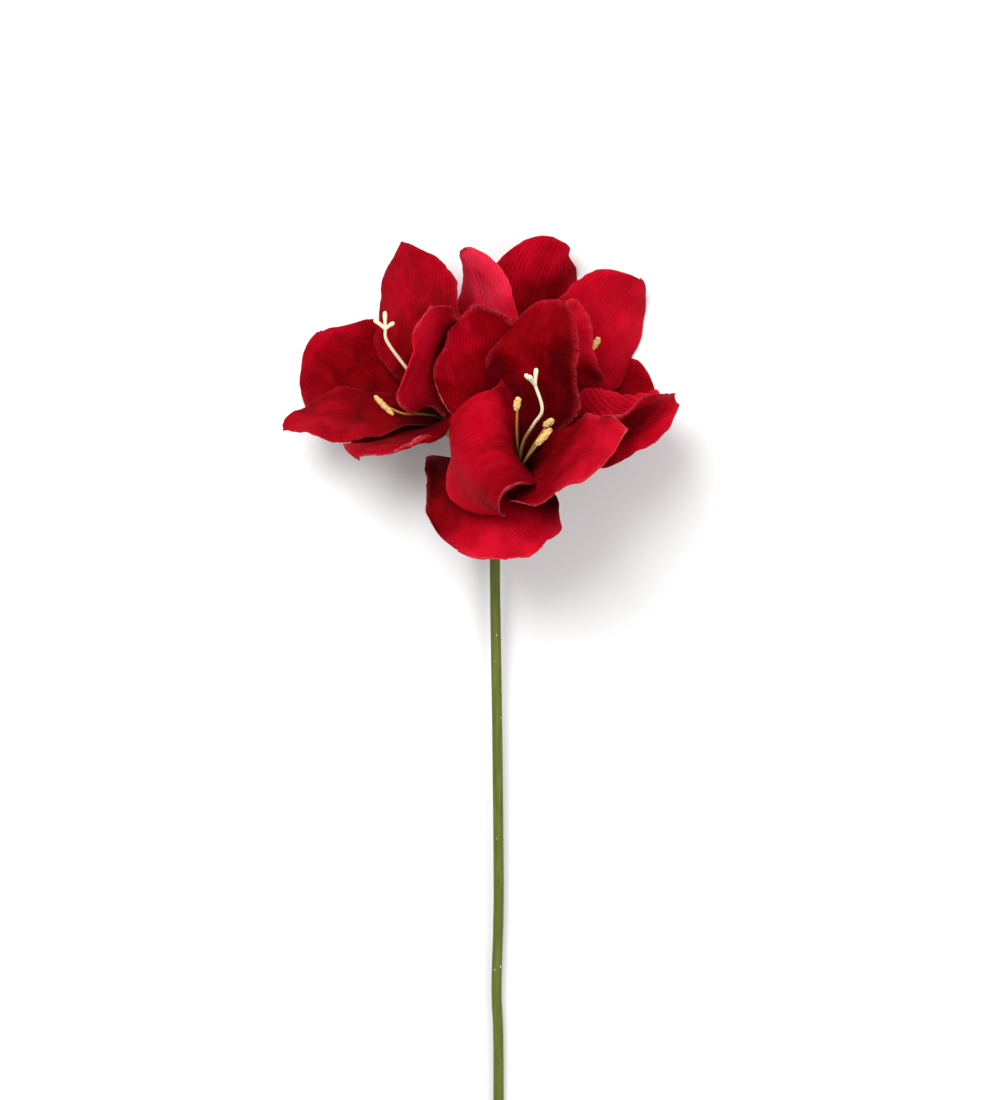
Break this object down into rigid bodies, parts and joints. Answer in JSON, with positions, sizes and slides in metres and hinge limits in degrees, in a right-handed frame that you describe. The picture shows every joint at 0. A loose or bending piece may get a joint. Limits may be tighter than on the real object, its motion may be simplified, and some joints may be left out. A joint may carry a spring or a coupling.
{
  "type": "artificial flower stem",
  "caption": "Long green amaryllis stem lying on its back, its head of open red trumpet blooms with ribbed petals, yellow stamens and cream pistils; a cut stem for arrangements.",
  "frame": {"origin": "on the surface that the stem lies on, under the middle of its bounding box", "axes": "+Y along the stalk from its cut end towards the blooms, +Z up from the surface, the way the blooms look, +X to the right as seen from above with +Y up"},
  "size_m": [0.2462, 0.623, 0.1663],
  "materials": {
    "petal_red": "matt dyed cloth with pressed ribs",
    "stem_green": "satin, mottled lengthwise",
    "pedicel_green": "satin",
    "stamen_yellow": "satin",
    "pistil_cream": "satin"
  },
  "bodies": {
    "root": {"pedicel_front": "pedicel_green", "pedicel_left": "pedicel_green", "pedicel_right": "pedicel_green", "petal_front_back_left": "petal_red", "petal_front_back_right": "petal_red", "petal_front_bottom": "petal_red", "petal_front_lip": "petal_red", "petal_front_right": "petal_red", "petal_front_top": "petal_red", "petal_left_back": "petal_red", "petal_left_bottom": "petal_red", "petal_left_crown": "petal_red", "petal_left_near": "petal_red", "petal_left_tip": "petal_red", "petal_left_top": "petal_red", "petal_right_back": "petal_red", "petal_right_crown": "petal_red", "petal_right_inner": "petal_red", "petal_right_near": "petal_red", "petal_right_side": "petal_red", "petal_right_top": "petal_red", "pistil_front": "pistil_cream", "pistil_left": "pistil_cream", "pistil_right": "pistil_cream", "stamens_front": "stamen_yellow", "stamens_left": "stamen_yellow", "stamens_right": "stamen_yellow", "stem": "stem_green"}
  },
  "joints": []
}
